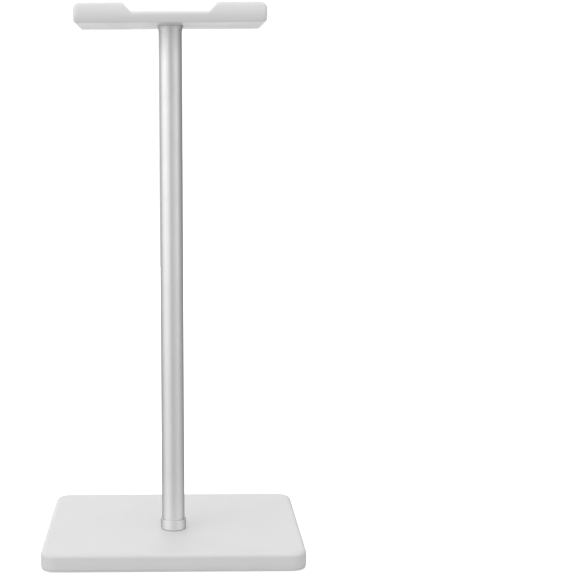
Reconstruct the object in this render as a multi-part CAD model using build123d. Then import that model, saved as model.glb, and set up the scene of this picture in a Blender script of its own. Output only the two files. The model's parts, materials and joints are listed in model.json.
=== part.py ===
from build123d import *
import math
import os

os.makedirs("parts", exist_ok=True)

# A free-standing headphone stand: a flat weighted base, a slim aluminium post and a
# flexible T-shaped headrest whose two wings bend down under a headband.
# Origin: centre of the base's outline, on the surface that the feet stand on.
# X runs along the headrest, Y from front to back, Z up. Millimetres.

LOW = (Align.CENTER, Align.CENTER, Align.MIN)

# Driving dimensions: base
base_width = 125.0
base_depth = 98.0
base_height = 8.7
base_corner_radius = 7.2
cover_edge_radius = 2.1
cover_wall = 2.2
rib_width = 1.2
rib_places = (-45.0, -27.0, 27.0, 45.0)
post_pad_diameter = 24.0
plate_flange = 1.2
plate_thickness = 1.6
plate_inset = 0.25
plate_edge_radius = 0.3
rim_clearance = 0.2
rim_thickness = 1.2
rim_height = 1.4
ballast_thickness = 3.0
ballast_clearance = 0.5
ballast_corner_radius = 5.0

# Driving dimensions: feet
foot_x = 51.0
foot_y = 37.5
foot_diameter = 12.0
foot_protrusion = 0.5
foot_recess = 0.7
foot_clearance = 0.1
foot_edge_radius = 0.3

# Driving dimensions: post
post_y = -10.0
post_diameter = 11.0
post_wall = 1.1
seat_depth = 0.5
seat_diameter = 11.2
collar_height = 5.2
collar_diameter = 12.4
collar_shoulder = 0.5
collar_shoulder_drop = 0.2
collar_edge_height = 0.9
collar_edge_inset = 0.5
flare_height = 2.4
flare_diameter = 12.3
flare_lip = 0.1
flare_rim_height = 0.25
flare_rim_inset = 0.25

# Driving dimensions: headrest
headrest_underside = 254.3
headrest_length = 88.8
headrest_depth = 51.0
headrest_height = 9.1
headrest_plan_radius = 2.4
end_top_radius = 3.3
end_bottom_radius = 1.4
floor_thickness = 3.0
lip_face_radius = 8.6
lip_widest_height = 5.0
lip_thickness = 2.8
lip_rim_height = 1.4
lip_draft = 0.4
lip_root_radius = 2.0
notch_height = 5.1
notch_floor_half = 18.1
notch_top_half = 21.7
notch_low_radius = 2.4
notch_high_radius = 2.0
wing_hinge_x = 15.0
wing_gap = 0.3

# Driving dimensions: the headrest's stiff core and the plugs in the tube
core_width = 20.0
core_depth = 34.0
core_radius = 3.0
core_rise = 0.8
core_thickness = 1.6
spigot_drop = 4.0
insert_diameter = 6.4
insert_length = 5.6
groove_width = 0.8
groove_depth = 0.4
groove_rises = (1.4, 3.4)
lower_plug_length = 16.0
lower_thread_depth = 13.5
upper_plug_length = 12.6

# Driving dimensions: fasteners
fit_gap = 0.03
hole_gap = 0.2
head_recess = 0.1
bolt_diameter = 5.0
bolt_head_diameter = 10.0
bolt_reach = 15.5
bolt_key = 3.0
bolt_key_depth = 1.8
bolt_access_diameter = 12.0
stud_inset = 3.0
stud_key = 2.5
stud_key_depth = 2.0
screw_x = 39.0
screw_y = 40.0
screw_diameter = 2.6
screw_head_diameter = 4.8
screw_reach = 3.2
screw_tip_room = 0.3
screw_cross_length = 2.6
screw_cross_width = 0.6
screw_boss_diameter = 6.4
screw_boss_gap = 0.4

# Levels worked out from the driving dimensions
base_bottom = foot_protrusion
base_top = base_bottom + base_height
plate_top = base_bottom + plate_thickness
cover_bottom = base_bottom + plate_flange
cover_ceiling = base_top - cover_wall
ballast_top = plate_top + ballast_thickness
seat_floor = base_top - seat_depth
post_bore = post_diameter - 2 * post_wall
core_low = headrest_underside + core_rise
spigot_low = headrest_underside - spigot_drop
upper_plug_high = spigot_low - hole_gap
upper_plug_low = upper_plug_high - upper_plug_length
stud_low = upper_plug_low + stud_inset
screw_head_height = (screw_head_diameter - screw_diameter) / 2
bolt_head_height = (bolt_head_diameter - bolt_diameter) / 2


def slab(inset, radius, low, high):
    """A flat plate with rounded plan corners, set in from the base's outline."""
    width = base_width - 2 * inset
    depth = base_depth - 2 * inset
    return extrude(Pos(0, 0, low) * RectangleRounded(width, depth, radius), amount=high - low)


def rod(diameter, low, high, x=0.0, y=post_y):
    """An upright cylinder between two levels."""
    return Pos(x, y, low) * Cylinder(diameter / 2, high - low, align=LOW)


def cone(low_diameter, high_diameter, low, high, x=0.0, y=post_y):
    """An upright frustum between two levels."""
    return Pos(x, y, low) * Cone(low_diameter / 2, high_diameter / 2, high - low, align=LOW)


def hex_socket(across_flats, low, depth):
    """The hexagonal recess that a key fits, on the post's axis."""
    corner_radius = across_flats / math.sqrt(3)
    return extrude(Pos(0, post_y, low) * RegularPolygon(corner_radius, 6), amount=depth)


def corners(x, y):
    """The four places that mirror one corner place."""
    return [(side_x * x, side_y * y) for side_y in (-1, 1) for side_x in (-1, 1)]


def make_base_cover():
    """The moulded top shell: hollow, ribbed inside, with four screw bosses and the post's seat."""
    shell = slab(0.0, base_corner_radius, cover_bottom, base_top)
    shell = fillet(shell.faces().sort_by(Axis.Z)[-1].edges(), cover_edge_radius)
    shell -= slab(cover_wall, base_corner_radius - cover_wall, cover_bottom, cover_ceiling)
    rib_end_inset = cover_wall + rim_clearance + rim_thickness + ballast_clearance
    rib_length = base_depth - 2 * rib_end_inset
    rib_height = cover_ceiling - ballast_top
    for rib_x in rib_places:
        shell += Pos(rib_x, 0, ballast_top) * Box(rib_width, rib_length, rib_height, align=LOW)
    shell += rod(post_pad_diameter, ballast_top, cover_ceiling)
    pilot_top = plate_top + screw_reach + screw_tip_room
    for x, y in corners(screw_x, screw_y):
        shell += rod(screw_boss_diameter, plate_top, cover_ceiling, x, y)
        shell -= rod(screw_diameter + 2 * fit_gap, plate_top, pilot_top, x, y)
    shell -= rod(bolt_diameter + 2 * hole_gap, ballast_top, base_top)
    shell -= rod(seat_diameter, seat_floor, base_top)
    return shell


def make_base_plate():
    """The bottom cover: a flange just inside the shell's edge and a rim that locates it."""
    flange = slab(plate_inset, base_corner_radius - plate_inset, base_bottom, cover_bottom)
    flange = fillet(flange.faces().sort_by(Axis.Z)[0].edges(), plate_edge_radius)
    rim_inset = cover_wall + rim_clearance
    well_inset = rim_inset + rim_thickness
    rim_top = plate_top + rim_height
    rim = slab(rim_inset, base_corner_radius - rim_inset, cover_bottom, rim_top)
    rim -= slab(well_inset, base_corner_radius - well_inset, plate_top, rim_top)
    plate = flange + rim
    for x, y in corners(foot_x, foot_y):
        recess_diameter = foot_diameter + 2 * foot_clearance
        plate -= rod(recess_diameter, base_bottom, base_bottom + foot_recess, x, y)
    sink_wide = screw_head_diameter + 2 * head_recess
    sink_high = base_bottom + head_recess + screw_head_height
    hole_diameter = screw_diameter + 2 * hole_gap
    for x, y in corners(screw_x, screw_y):
        plate -= rod(hole_diameter, base_bottom, plate_top, x, y)
        plate -= cone(sink_wide, screw_diameter, base_bottom, sink_high, x, y)
    return plate - rod(bolt_access_diameter, base_bottom, plate_top)


def make_ballast_plate():
    """The steel weight, clamped between the bottom cover and the shell's post pad."""
    inset = cover_wall + rim_clearance + rim_thickness + ballast_clearance
    plate = slab(inset, ballast_corner_radius, plate_top, ballast_top)
    for x, y in corners(screw_x, screw_y):
        plate -= rod(screw_boss_diameter + 2 * screw_boss_gap, plate_top, ballast_top, x, y)
    plate -= rod(bolt_diameter + 2 * hole_gap, plate_top, ballast_top)
    sink_wide = bolt_head_diameter + 2 * head_recess
    sink_high = plate_top + head_recess + bolt_head_height
    return plate - cone(sink_wide, bolt_diameter, plate_top, sink_high)


def make_cover_screws():
    """Four countersunk self-tapping screws with cross recesses."""
    head_low = base_bottom + head_recess
    head_high = head_low + screw_head_height
    cross = Box(screw_cross_length, screw_cross_width, screw_cross_width, align=LOW)
    cross += Box(screw_cross_width, screw_cross_length, screw_cross_width, align=LOW)
    screws = []
    for x, y in corners(screw_x, screw_y):
        head = cone(screw_head_diameter, screw_diameter, head_low, head_high, x, y)
        shank = rod(screw_diameter, head_high, plate_top + screw_reach, x, y)
        screws.append(head + shank - Pos(x, y, head_low) * cross)
    return Compound(children=screws)


def make_foot(x, y):
    """A rubber disc glued into its recess in the bottom cover."""
    foot = rod(foot_diameter, 0.0, base_bottom + foot_recess, x, y)
    return fillet(foot.faces().sort_by(Axis.Z)[0].edges(), foot_edge_radius)


def make_foot_collar():
    """The ring that trims the post's foot, standing on the shell: a slim shoulder and a rounded foot."""
    high = base_top + collar_height
    bore_radius = post_diameter / 2 + fit_gap
    wide_radius = collar_diameter / 2
    with BuildPart() as ring:
        with BuildSketch(Plane.XZ):
            with BuildLine():
                shoulder = (bore_radius + collar_shoulder, high)
                wide_high = (wide_radius, high - collar_shoulder_drop)
                wide_low = (wide_radius, base_top + collar_edge_height)
                standing = (wide_radius - collar_edge_inset, base_top)
                TangentArc(wide_high, shoulder, tangent=(0, 1))
                Line(wide_high, wide_low)
                TangentArc(wide_low, standing, tangent=(0, -1))
                Polyline(standing, (bore_radius, base_top), (bore_radius, high), shoulder)
            make_face()
        revolve(axis=Axis.Z)
    return Pos(0, post_y, 0) * ring.part


def make_post_bolt():
    """The countersunk socket bolt that pulls the post down on the base from below."""
    head_low = plate_top + head_recess
    head_high = head_low + bolt_head_height
    head = cone(bolt_head_diameter, bolt_diameter, head_low, head_high)
    shank = rod(bolt_diameter, head_high, head_high + bolt_reach)
    return head + shank - hex_socket(bolt_key, head_low, bolt_key_depth)


def make_lower_plug():
    """The threaded plug pressed into the tube's lower end."""
    plug = rod(post_bore - 2 * fit_gap, seat_floor, seat_floor + lower_plug_length)
    return plug - rod(bolt_diameter + 2 * fit_gap, seat_floor, seat_floor + lower_thread_depth)


def make_post_tube():
    """The extruded tube from the base's seat to the headrest."""
    tube = rod(post_diameter, seat_floor, headrest_underside)
    return tube - rod(post_bore, seat_floor, headrest_underside)


def make_upper_plug():
    """The threaded plug pressed into the tube's upper end, below the headrest's spigot."""
    plug = rod(post_bore - 2 * fit_gap, upper_plug_low, upper_plug_high)
    return plug - rod(bolt_diameter + 2 * fit_gap, upper_plug_low, upper_plug_high)


def make_top_collar():
    """The small flared ring where the post meets the headrest's underside."""
    low = headrest_underside - flare_height
    bore_radius = post_diameter / 2 + fit_gap
    wide_radius = flare_diameter / 2
    with BuildPart() as ring:
        with BuildSketch(Plane.XZ):
            with BuildLine():
                thin = (bore_radius + flare_lip, low)
                wide = (wide_radius, headrest_underside - flare_rim_height)
                top = (wide_radius - flare_rim_inset, headrest_underside)
                TangentArc(thin, wide, tangent=(0, 1))
                TangentArc(wide, top, tangent=(0, 1))
                Polyline(top, (bore_radius, headrest_underside), (bore_radius, low), thin)
            make_face()
        revolve(axis=Axis.Z)
    return Pos(0, post_y, 0) * ring.part


def make_headrest_stud():
    """The threaded stud that joins the headrest's insert to the upper plug."""
    stud = rod(bolt_diameter, stud_low, spigot_low + insert_length - hole_gap)
    return stud - hex_socket(stud_key, stud_low, stud_key_depth)


def make_headrest_insert():
    """The brass insert moulded into the core's spigot, with two locking grooves."""
    high = spigot_low + insert_length
    body = rod(insert_diameter, spigot_low, high)
    for rise in groove_rises:
        low = spigot_low + rise
        ring = rod(insert_diameter, low, low + groove_width)
        body -= ring - rod(insert_diameter - 2 * groove_depth, low, low + groove_width)
    return body - rod(bolt_diameter + 2 * fit_gap, spigot_low, high)


def core_envelope(growth):
    """The core's outer shape, grown by a clearance for the pocket that holds it."""
    outline = RectangleRounded(core_width + 2 * growth, core_depth + 2 * growth, core_radius)
    plate = extrude(Pos(0, post_y, core_low - growth) * outline, amount=core_thickness + 2 * growth)
    return plate + rod(post_bore - 2 * fit_gap + 2 * growth, spigot_low, core_low)


def make_headrest_core():
    """The stiff plate inside the headrest's middle, with a spigot that enters the tube."""
    pocket_high = spigot_low + insert_length + fit_gap
    return core_envelope(0.0) - rod(insert_diameter + 2 * fit_gap, spigot_low, pocket_high)


def lip_point(height, side):
    """A point of the lip's crowned outer face: its distance from the middle and its height."""
    chord = math.sqrt(lip_face_radius ** 2 - (height - lip_widest_height) ** 2)
    return (side * (headrest_depth / 2 - lip_face_radius + chord), height)


def headrest_profile():
    """The cross-section across the headrest: a floor with a crowned lip front and back."""
    rim_low = headrest_height - lip_rim_height
    inner_top = lip_point(rim_low, 1)[0] - lip_thickness
    inner_low = inner_top - lip_draft
    rim_middle = inner_top + lip_thickness / 2
    floor_half = inner_low - lip_root_radius
    root_height = floor_thickness + lip_root_radius
    root_bulge = lip_root_radius * (1 - math.sqrt(0.5))
    with BuildSketch(Plane.YZ) as sketch:
        with BuildLine():
            for side in (-1, 1):
                outer_low = lip_point(0, side)
                outer_high = lip_point(rim_low, side)
                inner_high = (side * inner_top, rim_low)
                inner_root = (side * inner_low, root_height)
                floor_edge = (side * floor_half, floor_thickness)
                root_middle = (side * (inner_low - root_bulge), floor_thickness + root_bulge)
                ThreePointArc(outer_low, lip_point(rim_low / 2, side), outer_high)
                ThreePointArc(outer_high, (side * rim_middle, headrest_height), inner_high)
                Line(inner_high, inner_root)
                ThreePointArc(inner_root, root_middle, floor_edge)
            Line((-floor_half, floor_thickness), (floor_half, floor_thickness))
            Line(lip_point(0, -1), lip_point(0, 1))
        make_face()
    return sketch.sketch


def corner_pair(sketch, half, height):
    """The two mirrored corners of a sketch at a distance from its middle and a height."""
    places = (Vector(-half, height), Vector(half, height))
    return [corner for corner in sketch.vertices() if Vector(corner.X, corner.Y) in places]


def headrest_outline():
    """The headrest from the front: rounded ends and the shallow notch over the post."""
    half = headrest_length / 2
    high = headrest_height
    with BuildSketch(Plane.XZ) as sketch:
        with BuildLine():
            Polyline(
                (-half, 0), (half, 0), (half, high), (notch_top_half, high),
                (notch_floor_half, notch_height), (-notch_floor_half, notch_height),
                (-notch_top_half, high), (-half, high), close=True,
            )
        make_face()
        for at_half, at_height, radius in (
            (half, high, end_top_radius), (half, 0, end_bottom_radius),
            (notch_top_half, high, notch_high_radius), (notch_floor_half, notch_height, notch_low_radius),
        ):
            fillet(corner_pair(sketch, at_half, at_height), radius)
    return sketch.sketch


def make_headrest():
    """The whole flexible moulding, before it is divided at the two bending lines."""
    across = extrude(headrest_profile(), amount=headrest_length, both=True)
    front = extrude(headrest_outline(), amount=headrest_depth, both=True)
    outline = RectangleRounded(headrest_length, headrest_depth, headrest_plan_radius)
    plan = extrude(outline, amount=headrest_height)
    return Pos(0, post_y, headrest_underside) * (across & front & plan)


def slice_between(solid, x_low, x_high):
    """The stretch of the headrest between two values of X."""
    cutter = Box(x_high - x_low, 2 * headrest_depth, 2 * headrest_height)
    return solid & Pos((x_low + x_high) / 2, post_y, headrest_underside + headrest_height / 2) * cutter


def write(name, shape):
    """One STEP file for each node."""
    export_step(shape, "parts/" + name + ".step")


write("base_cover", make_base_cover())
write("base_plate", make_base_plate())
write("ballast_plate", make_ballast_plate())
write("cover_screws", make_cover_screws())
foot_names = ("foot_front_left", "foot_front_right", "foot_rear_left", "foot_rear_right")
for foot_name, foot_place in zip(foot_names, corners(foot_x, foot_y)):
    write(foot_name, make_foot(*foot_place))

write("foot_collar", make_foot_collar())
write("post_bolt", make_post_bolt())
write("lower_plug", make_lower_plug())
write("post_tube", make_post_tube())
write("upper_plug", make_upper_plug())
write("top_collar", make_top_collar())

write("headrest_stud", make_headrest_stud())
write("headrest_insert", make_headrest_insert())
write("headrest_core", make_headrest_core())
headrest = make_headrest()
centre_half = wing_hinge_x - wing_gap / 2
wing_start = wing_hinge_x + wing_gap / 2
headrest_centre = slice_between(headrest, -centre_half, centre_half)
write("headrest_centre", headrest_centre - core_envelope(fit_gap))
write("headrest_left_wing", slice_between(headrest, -headrest_length, -wing_start))
write("headrest_right_wing", slice_between(headrest, wing_start, headrest_length))
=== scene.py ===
import json
import math

import bmesh
import bpy
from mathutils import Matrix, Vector


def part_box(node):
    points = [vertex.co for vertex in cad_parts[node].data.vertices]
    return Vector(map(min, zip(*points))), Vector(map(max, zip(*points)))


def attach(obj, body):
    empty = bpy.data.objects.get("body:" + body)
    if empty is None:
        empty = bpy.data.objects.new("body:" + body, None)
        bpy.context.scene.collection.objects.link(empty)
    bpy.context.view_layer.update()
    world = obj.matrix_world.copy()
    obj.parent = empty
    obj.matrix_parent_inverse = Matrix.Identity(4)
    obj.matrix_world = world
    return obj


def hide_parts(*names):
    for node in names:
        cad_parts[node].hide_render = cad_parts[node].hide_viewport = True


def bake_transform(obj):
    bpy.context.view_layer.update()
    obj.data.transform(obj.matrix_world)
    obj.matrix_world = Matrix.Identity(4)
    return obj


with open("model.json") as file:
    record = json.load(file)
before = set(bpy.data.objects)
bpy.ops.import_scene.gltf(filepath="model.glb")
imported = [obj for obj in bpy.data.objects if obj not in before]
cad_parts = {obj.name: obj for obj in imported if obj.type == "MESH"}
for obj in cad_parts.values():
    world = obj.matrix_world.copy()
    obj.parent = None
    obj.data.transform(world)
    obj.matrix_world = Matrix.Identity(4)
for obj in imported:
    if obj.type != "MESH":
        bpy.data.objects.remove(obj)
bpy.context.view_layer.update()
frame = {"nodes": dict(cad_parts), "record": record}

# A headphone stand: the headrest and the post's turned parts are built here over the CAD frame,
# the other CAD nodes are kept and painted, and all of it stands in a plain white studio.

MM = 0.001

# Places read from the frame, in metres
RIGHT_LOW, RIGHT_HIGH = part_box("headrest_right_wing")
TUBE_LOW, TUBE_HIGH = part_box("post_tube")
COLLAR_LOW, COLLAR_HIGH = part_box("foot_collar")
FLARE_LOW, FLARE_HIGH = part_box("top_collar")
POST_X = (TUBE_LOW.x + TUBE_HIGH.x) / 2
POST_Y = (TUBE_LOW.y + TUBE_HIGH.y) / 2
POST_RADIUS = (TUBE_HIGH.x - TUBE_LOW.x) / 2
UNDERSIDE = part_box("headrest_left_wing")[0].z

# The headrest's moulding; heights are above its underside
HALF_LENGTH = RIGHT_HIGH.x
HALF_DEPTH = (RIGHT_HIGH.y - RIGHT_LOW.y) / 2
LIP_HEIGHT = RIGHT_HIGH.z - UNDERSIDE
NOTCH_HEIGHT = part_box("headrest_centre")[1].z - UNDERSIDE
FLOOR_THICKNESS = 3.0 * MM
LIP_FACE_RADIUS = 8.6 * MM
LIP_WIDEST_HEIGHT = 5.0 * MM
LIP_THICKNESS = 2.8 * MM
LIP_DRAFT = 0.4 * MM
ROOT_RADIUS = 2.0 * MM
CREASE_RADIUS = 0.25 * MM
NOTCH_FLOOR_X = 18.1 * MM
NOTCH_TOP_X = 21.7 * MM
NOTCH_LOW_RADIUS = 2.4 * MM
NOTCH_HIGH_RADIUS = 2.0 * MM
END_TOP_RADIUS = 3.3 * MM
END_LOW_REACH = 1.2 * MM
END_LOW_RISE = 2.0 * MM
END_PLAN_RADIUS = 2.1 * MM
END_INNER_RADIUS = 0.5 * MM
END_FLOOR_RADIUS = 0.7 * MM

# How finely the headrest is cut: points along each line or arc of its section, and for each
# stretch of its half-length the place where it ends and the number of sections
UNDERSIDE_STEPS = 14
CREASE_STEPS = 4
LIP_FACE_STEPS = 13
RIM_STEPS = 12
LIP_WALL_STEPS = 6
ROOT_STEPS = 10
CHANNEL_STEPS = 16
STRETCHES = (
    (6.0 * MM, 3), (17.0 * MM, 12), (24.0 * MM, 22), (HALF_LENGTH - END_TOP_RADIUS, 14),
)
END_STEPS = 14

# The post's turned parts
POST_WALL = 1.1 * MM
POST_CHAMFER = 0.3 * MM
FIT_GAP = 0.03 * MM
COLLAR_SHOULDER = 0.5 * MM
COLLAR_SHOULDER_DROP = 0.2 * MM
COLLAR_EDGE_HEIGHT = 0.9 * MM
COLLAR_EDGE_INSET = 0.5 * MM
FLARE_LIP = 0.1 * MM
FLARE_RIM_HEIGHT = 0.25 * MM
FLARE_RIM_INSET = 0.25 * MM

# How finely the turned parts are cut: segments round the axis, and points along each line or arc
LATHE_SEGMENTS = 128
TUBE_STEPS = 24
COLLAR_SHOULDER_STEPS = 8
COLLAR_SIDE_STEPS = 8
COLLAR_EDGE_STEPS = 10
COLLAR_BORE_STEPS = 6
FLARE_STEPS = 12
FLARE_RIM_STEPS = 6
FLARE_BORE_STEPS = 4

# Points closer than this are joined, edges shorter than this are dropped, and edges where the
# surface turns by more than this stay sharp
JOIN_DISTANCE = 0.002 * MM
SHORTEST_EDGE = 0.001 * MM
SHARP_ANGLE = math.radians(40)

# The middle part of a noise pattern, where nearly all of its values lie
NOISE_LOW = 0.3
NOISE_HIGH = 0.7

# Surface patterns. A size is about one feature across, a depth is how deep the relief goes, and
# a line's draw is how little the pattern changes round the axis compared with along it.
PLASTIC_MOTTLE_SIZE = 45 * MM
PLASTIC_SHADES = (0.985, 1.012)
PLASTIC_GLOSS_SPREAD = (-0.04, 0.05)
PLASTIC_HANDLING_SIZE = 14 * MM
PLASTIC_SINK_SIZE = 60 * MM
PLASTIC_SINK_DEPTH = 0.12 * MM
PLASTIC_IOR = 1.50
ELASTOMER_SCATTER = 0.12
ELASTOMER_SCATTER_DEPTH = 0.8 * MM
ALUMINIUM_GREYS = (0.79, 0.82)
ALUMINIUM_ROUGHNESS = (0.44, 0.49)
ALUMINIUM_CLOUD_SIZE = 30 * MM
ALUMINIUM_HANDLING_SIZE = 9 * MM
ALUMINIUM_LINE_SIZE = 0.22 * MM
ALUMINIUM_LINE_DEPTH = 0.003 * MM
ALUMINIUM_LINE_DRAW = 0.04
ALUMINIUM_EDGE_TINT = 0.22
ALUMINIUM_ANISOTROPY = 0.6
QUARTER_TURN = 0.25
TURNED_STAIN_SIZE = 6 * MM
TURNED_DULL = 0.86
TURNED_GLOSS_SPREAD = (-0.06, 0.08)
TURNED_LINE_SIZE = 0.35 * MM
TURNED_LINE_DEPTH = 0.01 * MM
TURNED_LINE_DRAW = 0.05
RUBBER_SCUFF_SIZE = 3 * MM
RUBBER_SHADES = (0.9, 1.06)
RUBBER_ROUGHNESS = (0.62, 0.80)
RUBBER_GRAIN_SIZE = 0.35 * MM
RUBBER_GRAIN_DEPTH = 0.02 * MM

# The floor and the room: the greys light the stand, the glows lift them to white for the camera
FLOOR_REACH = 6.0
FLOOR_GREY = 0.46
FLOOR_GLOW = 0.83
ROOM_GREY = 0.42
BACKDROP_GLOW = 1.15

# Single softboxes: place, the point they face, width, height and brightness
OVERHEAD = ((0, 0, 1.7), (0, 0, 0), 2.0, 2.0, 1.00)
KEY = ((-0.35, -1.0, 1.5), (0, 0, 0.1), 1.9, 1.2, 0.47)

# Softboxes standing on the floor in a ring: azimuth in degrees, 0 being the front and 90 the
# right, and brightness
RING_RADIUS = 1.2
RING_WIDTH = 0.643
RING_HEIGHT = 0.8
RING = (
    (-150, 1.30), (-120, 0.26), (-90, 1.10), (-60, 1.56), (-30, 1.12), (0, 0.20),
    (30, 0.60), (60, 1.00), (90, 0.24), (180, 1.50),
)

# The camera looks along +Y, turned down and rolled by these degrees
CAMERA_PLACE = (0.00116, -0.63362, 0.21106)
CAMERA_DOWN = 6.3407
CAMERA_ROLL = -0.367
CAMERA_LENS = 81.15
CAMERA_SENSOR = 36.0
CAMERA_SHIFT = (0.1972, -0.045)
CAMERA_CLIP = (0.05, 50.0)


# ---------------------------------------------------------------- materials

def grey(level):
    """A neutral colour."""
    return (level, level, level)


def new_material(name):
    """A node material that holds only its output and its shader."""
    material = bpy.data.materials.new(name)
    material.use_nodes = True
    tree = material.node_tree
    tree.nodes.clear()
    output = tree.nodes.new("ShaderNodeOutputMaterial")
    shader = tree.nodes.new("ShaderNodeBsdfPrincipled")
    tree.links.new(shader.outputs["BSDF"], output.inputs["Surface"])
    return material, tree, shader


def object_coordinates(tree, scale=(1, 1, 1)):
    """Coordinates in metres fixed to the object; a small scale draws a pattern out along that axis."""
    source = tree.nodes.new("ShaderNodeTexCoord")
    mapping = tree.nodes.new("ShaderNodeMapping")
    mapping.inputs["Scale"].default_value = scale
    tree.links.new(source.outputs["Object"], mapping.inputs["Vector"])
    return mapping.outputs["Vector"]


def noise(tree, coordinates, size, detail, roughness=0.55):
    """A noise pattern whose features are about size metres across."""
    node = tree.nodes.new("ShaderNodeTexNoise")
    node.inputs["Scale"].default_value = 1.0 / size
    node.inputs["Detail"].default_value = detail
    node.inputs["Roughness"].default_value = roughness
    tree.links.new(coordinates, node.inputs["Vector"])
    return node.outputs["Fac"]


def spread(tree, pattern, low, high):
    """Maps the middle of a noise pattern to the values low to high."""
    node = tree.nodes.new("ShaderNodeMapRange")
    node.inputs["From Min"].default_value = NOISE_LOW
    node.inputs["From Max"].default_value = NOISE_HIGH
    node.inputs["To Min"].default_value = low
    node.inputs["To Max"].default_value = high
    tree.links.new(pattern, node.inputs["Value"])
    return node.outputs["Result"]


def colour_between(tree, pattern, colour_a, colour_b):
    """A colour that goes from one to the other with a noise pattern."""
    node = tree.nodes.new("ShaderNodeMix")
    node.data_type = "RGBA"
    node.inputs["A"].default_value = (*colour_a, 1.0)
    node.inputs["B"].default_value = (*colour_b, 1.0)
    tree.links.new(spread(tree, pattern, 0.0, 1.0), node.inputs["Factor"])
    return node.outputs["Result"]


def bump(tree, pattern, depth, below=None):
    """Relief from a noise pattern, laid over another relief if one is given."""
    node = tree.nodes.new("ShaderNodeBump")
    node.inputs["Distance"].default_value = depth
    node.inputs["Strength"].default_value = 1.0
    tree.links.new(pattern, node.inputs["Height"])
    if below is not None:
        tree.links.new(below, node.inputs["Normal"])
    return node.outputs["Normal"]


def moulded_plastic(name, level, roughness, grain_size, grain_depth):
    """Moulded plastic: faint flow mottling, fine grain, shallow sinks and handling marks in the gloss."""
    material, tree, shader = new_material(name)
    place = object_coordinates(tree)
    mottle = noise(tree, place, PLASTIC_MOTTLE_SIZE, detail=3.0)
    deep, pale = [grey(level * shade) for shade in PLASTIC_SHADES]
    colour = colour_between(tree, mottle, deep, pale)
    tree.links.new(colour, shader.inputs["Base Color"])
    handling = noise(tree, place, PLASTIC_HANDLING_SIZE, detail=5.0, roughness=0.6)
    gloss = spread(tree, handling, *[roughness + part for part in PLASTIC_GLOSS_SPREAD])
    tree.links.new(gloss, shader.inputs["Roughness"])
    sink = bump(tree, noise(tree, place, PLASTIC_SINK_SIZE, detail=1.0), PLASTIC_SINK_DEPTH)
    grain = noise(tree, place, grain_size, detail=2.0)
    tree.links.new(bump(tree, grain, grain_depth, below=sink), shader.inputs["Normal"])
    shader.inputs["IOR"].default_value = PLASTIC_IOR
    return material


def satin_elastomer(name, level, roughness, grain_size, grain_depth):
    """Soft white elastomer: a satin moulding that lets a little light into its surface."""
    material = moulded_plastic(name, level, roughness, grain_size, grain_depth)
    shader = material.node_tree.nodes["Principled BSDF"]
    shader.inputs["Subsurface Weight"].default_value = ELASTOMER_SCATTER
    shader.inputs["Subsurface Radius"].default_value = (1.0, 1.0, 1.0)
    shader.inputs["Subsurface Scale"].default_value = ELASTOMER_SCATTER_DEPTH
    return material


def satin_aluminium(name):
    """Anodised aluminium, ground in fine lines round the tube that draw highlights out along it."""
    material, tree, shader = new_material(name)
    place = object_coordinates(tree)
    cloud = noise(tree, place, ALUMINIUM_CLOUD_SIZE, detail=3.0)
    deep, pale = [grey(level) for level in ALUMINIUM_GREYS]
    tree.links.new(colour_between(tree, cloud, deep, pale), shader.inputs["Base Color"])
    handling = noise(tree, place, ALUMINIUM_HANDLING_SIZE, detail=5.0, roughness=0.6)
    tree.links.new(spread(tree, handling, *ALUMINIUM_ROUGHNESS), shader.inputs["Roughness"])
    around = object_coordinates(tree, scale=(ALUMINIUM_LINE_DRAW, ALUMINIUM_LINE_DRAW, 1))
    lines = noise(tree, around, ALUMINIUM_LINE_SIZE, detail=3.0)
    tree.links.new(bump(tree, lines, ALUMINIUM_LINE_DEPTH), shader.inputs["Normal"])
    tangent = tree.nodes.new("ShaderNodeTangent")
    tangent.direction_type = "RADIAL"
    tangent.axis = "Z"
    tree.links.new(tangent.outputs["Tangent"], shader.inputs["Tangent"])
    shader.inputs["Specular Tint"].default_value = (*grey(ALUMINIUM_EDGE_TINT), 1.0)
    shader.inputs["Anisotropic"].default_value = ALUMINIUM_ANISOTROPY
    shader.inputs["Anisotropic Rotation"].default_value = QUARTER_TURN
    shader.inputs["Metallic"].default_value = 1.0
    return material


def turned_metal(name, colour, roughness, line_size=TURNED_LINE_SIZE):
    """Turned or rolled metal with machining lines and dull stains."""
    material, tree, shader = new_material(name)
    stain = noise(tree, object_coordinates(tree), TURNED_STAIN_SIZE, detail=4.0)
    dull = tuple(channel * TURNED_DULL for channel in colour)
    tree.links.new(colour_between(tree, stain, dull, colour), shader.inputs["Base Color"])
    gloss = spread(tree, stain, *[roughness + part for part in TURNED_GLOSS_SPREAD])
    tree.links.new(gloss, shader.inputs["Roughness"])
    around = object_coordinates(tree, scale=(TURNED_LINE_DRAW, TURNED_LINE_DRAW, 1))
    lines = noise(tree, around, line_size, detail=2.0)
    tree.links.new(bump(tree, lines, TURNED_LINE_DEPTH), shader.inputs["Normal"])
    shader.inputs["Metallic"].default_value = 1.0
    return material


def soft_rubber(name, level):
    """Moulded rubber with fine grain and scuffs."""
    material, tree, shader = new_material(name)
    place = object_coordinates(tree)
    scuff = noise(tree, place, RUBBER_SCUFF_SIZE, detail=6.0, roughness=0.65)
    deep, pale = [grey(level * shade) for shade in RUBBER_SHADES]
    tree.links.new(colour_between(tree, scuff, deep, pale), shader.inputs["Base Color"])
    tree.links.new(spread(tree, scuff, *RUBBER_ROUGHNESS), shader.inputs["Roughness"])
    grain = noise(tree, place, RUBBER_GRAIN_SIZE, detail=2.0)
    tree.links.new(bump(tree, grain, RUBBER_GRAIN_DEPTH), shader.inputs["Normal"])
    return material


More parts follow.
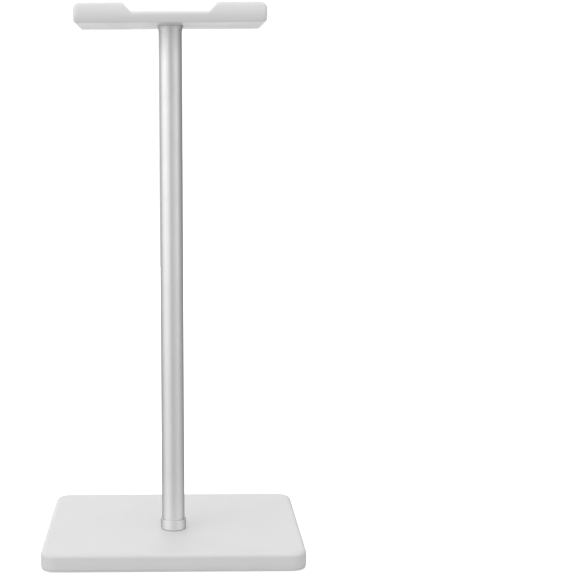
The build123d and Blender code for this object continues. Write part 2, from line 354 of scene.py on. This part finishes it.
# Each slot's material. The numbers after a moulding's name are its grey level, roughness, and
# grain size and depth; after a metal's name they are its colour, roughness and line size.
MATERIALS = {
    "base_abs": moulded_plastic("base_abs", 0.735, 0.62, 0.38 * MM, 0.006 * MM),
    "base_plate_abs": moulded_plastic("base_plate_abs", 0.72, 0.60, 0.55 * MM, 0.02 * MM),
    "core_abs": moulded_plastic("core_abs", 0.66, 0.50, 0.5 * MM, 0.01 * MM),
    "headrest_tpu": satin_elastomer("headrest_tpu", 0.785, 0.34, 0.30 * MM, 0.004 * MM),
    "post_aluminium": satin_aluminium("post_aluminium"),
    "ballast_steel": turned_metal("ballast_steel", (0.42, 0.42, 0.43), 0.42, 1.5 * MM),
    "screw_steel": turned_metal("screw_steel", (0.58, 0.58, 0.60), 0.30),
    "plug_steel": turned_metal("plug_steel", (0.50, 0.50, 0.51), 0.34),
    "insert_brass": turned_metal("insert_brass", (0.72, 0.55, 0.28), 0.32),
    "foot_rubber": soft_rubber("foot_rubber", 0.55),
}


# ---------------------------------------------------------------- mesh helpers

def mesh_object(name, points, faces, slot_name):
    """A smooth-shaded closed piece from points in metres and loops of their indices."""
    mesh = bpy.data.meshes.new(name)
    mesh.from_pydata(points, [], faces)
    shape = bmesh.new()
    shape.from_mesh(mesh)
    bmesh.ops.remove_doubles(shape, verts=shape.verts, dist=JOIN_DISTANCE)
    bmesh.ops.dissolve_degenerate(shape, dist=SHORTEST_EDGE, edges=shape.edges)
    bmesh.ops.recalc_face_normals(shape, faces=shape.faces)
    for face in shape.faces:
        face.smooth = True
    for edge in shape.edges:
        edge.smooth = not (edge.is_manifold and edge.calc_face_angle() > SHARP_ANGLE)
    shape.to_mesh(mesh)
    shape.free()
    piece = bpy.data.objects.new(name, mesh)
    bpy.context.scene.collection.objects.link(piece)
    mesh.materials.append(MATERIALS[slot_name])
    return piece


def line_points(start, end, count):
    """Evenly spaced points from start towards end, without end itself."""
    return [
        tuple(a + (b - a) * step / count for a, b in zip(start, end))
        for step in range(count)
    ]


def arc(centre, radius_a, radius_b, start, end, count):
    """Points of an elliptical arc, from one angle to another in degrees."""
    points = []
    for step in range(count + 1):
        angle = math.radians(start + (end - start) * step / count)
        points.append((centre[0] + radius_a * math.cos(angle), centre[1] + radius_b * math.sin(angle)))
    return points


def upright_arc(start, end, count):
    """An arc that leaves start upright, as (radius, height) points without end itself."""
    across, along = end[0] - start[0], end[1] - start[1]
    radius = (across * across + along * along) / (2 * abs(across))
    sweep = math.asin(min(1.0, abs(along) / radius))
    if abs(across) > radius:
        sweep = math.pi - sweep
    points = []
    for step in range(count):
        angle = sweep * step / count
        sideways = math.copysign(radius * (1 - math.cos(angle)), across)
        points.append((start[0] + sideways, start[1] + math.copysign(radius * math.sin(angle), along)))
    return points


def lathe(name, profile, slot_name):
    """A ring turned about the post's axis from a closed profile of (radius, height) points."""
    points = []
    faces = []
    count = len(profile)
    for turn in range(LATHE_SEGMENTS):
        angle = 2 * math.pi * turn / LATHE_SEGMENTS
        for radius, height in profile:
            points.append((POST_X + radius * math.cos(angle), POST_Y + radius * math.sin(angle), height))
    for turn in range(LATHE_SEGMENTS):
        following = (turn + 1) % LATHE_SEGMENTS
        for place in range(count):
            after = (place + 1) % count
            faces.append((
                turn * count + place, following * count + place,
                following * count + after, turn * count + after,
            ))
    return mesh_object(name, points, faces, slot_name)


# ---------------------------------------------------------------- headrest

def drawn_in(x, reach, rise=None):
    """How far a rounded end has drawn in at x. Its edge is an arc, or an ellipse if it has a rise."""
    share = max(0.0, x - (HALF_LENGTH - reach)) / reach
    return (rise or reach) * (1 - math.sqrt(max(0.0, 1 - share * share)))


def lip_top(x):
    """The lip's height at x: low over the notch, then a slope with rounded ends, then full height."""
    rise = LIP_HEIGHT - NOTCH_HEIGHT
    run = NOTCH_TOP_X - NOTCH_FLOOR_X
    slope = math.atan2(rise, run)
    low_tangent = NOTCH_LOW_RADIUS * math.tan(slope / 2)
    high_tangent = NOTCH_HIGH_RADIUS * math.tan(slope / 2)
    low_arc_start = NOTCH_FLOOR_X - low_tangent
    high_arc_end = NOTCH_TOP_X + high_tangent
    if x <= low_arc_start:
        return NOTCH_HEIGHT
    if x <= NOTCH_FLOOR_X + low_tangent * math.cos(slope):
        past = x - low_arc_start
        return NOTCH_HEIGHT + NOTCH_LOW_RADIUS - math.sqrt(NOTCH_LOW_RADIUS ** 2 - past ** 2)
    if x <= NOTCH_TOP_X - high_tangent * math.cos(slope):
        return NOTCH_HEIGHT + (x - NOTCH_FLOOR_X) * rise / run
    if x <= high_arc_end:
        left = high_arc_end - x
        return LIP_HEIGHT - NOTCH_HIGH_RADIUS + math.sqrt(NOTCH_HIGH_RADIUS ** 2 - left ** 2)
    return LIP_HEIGHT


def section(x):
    """Half of the headrest's cross-section at x, as (across, height) points in three runs: the
    outside from the middle of the underside to the lip's rim, the rim, and the inside from the
    rim to the middle of the channel's floor."""
    low = drawn_in(x, END_LOW_REACH, END_LOW_RISE)
    outer_shift = drawn_in(x, END_PLAN_RADIUS)
    inner_shift = drawn_in(x, END_INNER_RADIUS)
    high = lip_top(x) - drawn_in(x, END_TOP_RADIUS)
    floor = FLOOR_THICKNESS - drawn_in(x, END_FLOOR_RADIUS)

    # The lip's bowed face, between its rim above and the crease below
    rim = (LIP_THICKNESS - outer_shift - inner_shift) / 2
    face_centre = HALF_DEPTH - LIP_FACE_RADIUS - outer_shift
    tilt = math.asin((high - rim - LIP_WIDEST_HEIGHT) / (LIP_FACE_RADIUS - rim))
    rim_centre = (
        face_centre + (LIP_FACE_RADIUS - rim) * math.cos(tilt),
        LIP_WIDEST_HEIGHT + (LIP_FACE_RADIUS - rim) * math.sin(tilt),
    )
    crease_reach = LIP_FACE_RADIUS - CREASE_RADIUS
    crease_tilt = math.asin((low + CREASE_RADIUS - LIP_WIDEST_HEIGHT) / crease_reach)
    crease_centre = (face_centre + crease_reach * math.cos(crease_tilt), low + CREASE_RADIUS)

    outside = line_points((0.0, low), (crease_centre[0], low), UNDERSIDE_STEPS)
    outside += arc(
        crease_centre, CREASE_RADIUS, CREASE_RADIUS, -90.0, math.degrees(crease_tilt), CREASE_STEPS,
    )
    outside += arc(
        (face_centre, LIP_WIDEST_HEIGHT), LIP_FACE_RADIUS, LIP_FACE_RADIUS,
        math.degrees(crease_tilt), math.degrees(tilt), LIP_FACE_STEPS,
    )[1:]
    top = arc(rim_centre, rim, rim, math.degrees(tilt), 180.0, RIM_STEPS)[1:]

    wall_high = (rim_centre[0] - rim, rim_centre[1])
    wall_drop = wall_high[1] - floor
    root_height = min(ROOT_RADIUS, wall_drop)
    wall_low = (wall_high[0] - LIP_DRAFT * wall_drop / LIP_HEIGHT, floor + root_height)
    root_end = (wall_low[0] - ROOT_RADIUS, floor)
    inside = line_points(wall_high, wall_low, LIP_WALL_STEPS)[1:]
    inside += arc((root_end[0], wall_low[1]), ROOT_RADIUS, root_height, 0.0, -90.0, ROOT_STEPS)
    inside += line_points(root_end, (0.0, floor), CHANNEL_STEPS)[1:] + [(0.0, floor)]
    return outside, top, inside


def stations():
    """Where the headrest's sections stand, from the middle to the end, closer where it curves."""
    places = []
    start = 0.0
    for end, count in STRETCHES:
        places += [start + (end - start) * step / count for step in range(count)]
        start = end
    for step in range(END_STEPS + 1):
        places.append(start + END_TOP_RADIUS * math.sin(math.pi / 2 * step / END_STEPS))
    return places


def cap_faces(half, outside_count, top_count):
    """Faces that close half of a section: strips from the outside to the inside, then the lip."""
    inner_first = outside_count + top_count - 1
    inner = list(reversed(half[inner_first:]))
    outer = half[:outside_count]
    paired = min(len(inner), len(outer))
    faces = [
        (outer[place], outer[place + 1], inner[place + 1], inner[place])
        for place in range(paired - 1)
    ]
    lip = outer[paired - 1:] + half[outside_count:inner_first + 1] + list(reversed(inner[paired - 1:]))
    faces.append(tuple(dict.fromkeys(lip)))
    return faces


def headrest_half(name, side):
    """One half of the moulding, from the middle to its left (-1) or right (1) end."""
    points = []
    faces = []
    rings = []
    for x in stations():
        outside, top, inside = section(min(x, HALF_LENGTH))
        half = outside + top + inside
        loop = half + [(-across, height) for across, height in reversed(half[1:-1])]
        first = len(points)
        points += [(side * x, POST_Y + across, UNDERSIDE + height) for across, height in loop]
        rings.append(list(range(first, len(points))))
    for ring, following in zip(rings, rings[1:]):
        for place in range(len(ring)):
            after = (place + 1) % len(ring)
            faces.append((ring[place], ring[after], following[after], following[place]))
    for ring in (rings[0], rings[-1]):
        back_half = ring[:len(half)]
        front_half = [ring[-place] for place in range(len(half))]
        faces += cap_faces(back_half, len(outside), len(top))
        faces += cap_faces(front_half, len(outside), len(top))
    return mesh_object(name, points, faces, "headrest_tpu")


def make_headrest():
    """The flexible headrest as two halves, built in place of the CAD wings and centre."""
    for name, side, body in (("headrest_left", -1, "left_wing"), ("headrest_right", 1, "right_wing")):
        half = headrest_half(name, side)
        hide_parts("headrest_" + body, "headrest_centre")
        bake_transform(half)


# ---------------------------------------------------------------- post

def make_tube():
    """The post's tube, with a small chamfer outside at both ends."""
    bore = POST_RADIUS - POST_WALL
    face = POST_RADIUS - POST_CHAMFER
    low, high = TUBE_LOW.z, TUBE_HIGH.z
    wall_low, wall_high = (POST_RADIUS, low + POST_CHAMFER), (POST_RADIUS, high - POST_CHAMFER)
    profile = [(face, low)] + line_points(wall_low, wall_high, TUBE_STEPS) + [wall_high, (face, high)]
    profile += line_points((bore, high), (bore, low), TUBE_STEPS) + [(bore, low)]
    tube = lathe("post_tube_drawn", profile, "post_aluminium")
    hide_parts("post_tube")
    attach(tube, "stand")


def make_foot_collar():
    """The ring round the post's foot, with a slim shoulder and a rounded foot."""
    bore = POST_RADIUS + FIT_GAP
    low, high = COLLAR_LOW.z, COLLAR_HIGH.z
    wide = (COLLAR_HIGH.x - COLLAR_LOW.x) / 2
    shoulder = (bore + COLLAR_SHOULDER, high)
    wide_high = (wide, high - COLLAR_SHOULDER_DROP)
    wide_low = (wide, low + COLLAR_EDGE_HEIGHT)
    standing = (wide - COLLAR_EDGE_INSET, low)
    profile = [shoulder] + list(reversed(upright_arc(wide_high, shoulder, COLLAR_SHOULDER_STEPS)))
    profile += line_points(wide_high, wide_low, COLLAR_SIDE_STEPS)[1:]
    profile += upright_arc(wide_low, standing, COLLAR_EDGE_STEPS) + [standing, (bore, low)]
    profile += line_points((bore, low), (bore, high), COLLAR_BORE_STEPS)[1:] + [(bore, high)]
    collar = lathe("foot_collar_turned", profile, "post_aluminium")
    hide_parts("foot_collar")
    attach(collar, "stand")


def make_top_collar():
    """The flare that meets the headrest: a hollow curve from the tube's width out to a rounded rim."""
    bore = POST_RADIUS + FIT_GAP
    low, high = FLARE_LOW.z, FLARE_HIGH.z
    wide = ((FLARE_HIGH.x - FLARE_LOW.x) / 2, high - FLARE_RIM_HEIGHT)
    rim = (wide[0] - FLARE_RIM_INSET, high)
    profile = upright_arc((bore + FLARE_LIP, low), wide, FLARE_STEPS)
    profile += upright_arc(wide, rim, FLARE_RIM_STEPS) + [rim, (bore, high)]
    profile += line_points((bore, high), (bore, low), FLARE_BORE_STEPS)[1:] + [(bore, low)]
    flare = lathe("top_collar_turned", profile, "post_aluminium")
    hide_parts("top_collar")
    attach(flare, "stand")


# ---------------------------------------------------------------- CAD nodes that stay

def paint_cad_nodes():
    """Gives every CAD node the material of its slot."""
    slots = {row["node"]: row["material_slot"] for row in frame["record"]["subparts"]}
    for name, node in frame["nodes"].items():
        for slot in node.material_slots:
            slot.material = MATERIALS[slots[name]]


# ---------------------------------------------------------------- studio

def make_floor():
    """A plain floor: mid grey to the light that falls on it, lifted to white where it is seen."""
    reach = FLOOR_REACH
    corners = [(-reach, -reach, 0), (reach, -reach, 0), (reach, reach, 0), (-reach, reach, 0)]
    mesh = bpy.data.meshes.new("floor")
    mesh.from_pydata(corners, [], [(0, 1, 2, 3)])
    floor = bpy.data.objects.new("floor", mesh)
    bpy.context.scene.collection.objects.link(floor)
    material, tree, shader = new_material("studio_floor")
    shader.inputs["Base Color"].default_value = (*grey(FLOOR_GREY), 1.0)
    shader.inputs["Roughness"].default_value = 1.0
    shader.inputs["Emission Color"].default_value = (*grey(1.0), 1.0)
    ray = tree.nodes.new("ShaderNodeLightPath")
    glow = tree.nodes.new("ShaderNodeMath")
    glow.operation = "MULTIPLY"
    glow.inputs[1].default_value = FLOOR_GLOW
    tree.links.new(ray.outputs["Is Camera Ray"], glow.inputs[0])
    tree.links.new(glow.outputs["Value"], shader.inputs["Emission Strength"])
    mesh.materials.append(material)


def softbox(name, place, target, width, height, brightness):
    """A rectangular soft light of even brightness that faces a point and is itself out of sight."""
    data = bpy.data.lights.new(name, "AREA")
    data.shape = "RECTANGLE"
    data.size = width
    data.size_y = height
    data.energy = brightness * math.pi * width * height
    light = bpy.data.objects.new(name, data)
    light.location = place
    light.rotation_euler = (Vector(target) - Vector(place)).to_track_quat("-Z", "Y").to_euler()
    light.visible_camera = False
    bpy.context.scene.collection.objects.link(light)


def make_lights():
    """One softbox overhead, a key in front of it and a ring of them round the stand."""
    softbox("overhead", *OVERHEAD)
    softbox("key", *KEY)
    middle = Vector((0, 0, RING_HEIGHT / 2))
    for azimuth, brightness in RING:
        angle = math.radians(azimuth)
        place = middle + RING_RADIUS * Vector((math.sin(angle), -math.cos(angle), 0))
        softbox("ring_%d" % azimuth, place, middle, RING_WIDTH, RING_HEIGHT, brightness)


def make_room():
    """An even room: grey to the stand, white behind it to the camera."""
    world = bpy.data.worlds.new("studio")
    bpy.context.scene.world = world
    world.use_nodes = True
    tree = world.node_tree
    tree.nodes.clear()
    output = tree.nodes.new("ShaderNodeOutputWorld")
    room = tree.nodes.new("ShaderNodeBackground")
    room.inputs["Color"].default_value = (*grey(ROOM_GREY), 1.0)
    backdrop = tree.nodes.new("ShaderNodeBackground")
    backdrop.inputs["Color"].default_value = (*grey(1.0), 1.0)
    backdrop.inputs["Strength"].default_value = BACKDROP_GLOW
    choose = tree.nodes.new("ShaderNodeMixShader")
    ray = tree.nodes.new("ShaderNodeLightPath")
    tree.links.new(ray.outputs["Is Camera Ray"], choose.inputs["Fac"])
    tree.links.new(room.outputs["Background"], choose.inputs[1])
    tree.links.new(backdrop.outputs["Background"], choose.inputs[2])
    tree.links.new(choose.outputs["Shader"], output.inputs["Surface"])


def make_camera():
    """The photograph's viewpoint: straight in front of the stand, a little below its headrest."""
    data = bpy.data.cameras.new("camera")
    data.sensor_width = CAMERA_SENSOR
    data.lens = CAMERA_LENS
    data.shift_x, data.shift_y = CAMERA_SHIFT
    data.clip_start, data.clip_end = CAMERA_CLIP
    camera = bpy.data.objects.new("camera", data)
    camera.location = CAMERA_PLACE
    camera.rotation_mode = "ZYX"
    camera.rotation_euler = (math.radians(90 - CAMERA_DOWN), 0.0, math.radians(CAMERA_ROLL))
    bpy.context.scene.collection.objects.link(camera)
    bpy.context.scene.camera = camera
    bpy.context.scene.view_settings.view_transform = "Standard"


paint_cad_nodes()
make_headrest()
make_tube()
make_foot_collar()
make_top_collar()
make_floor()
make_lights()
make_room()
make_camera()
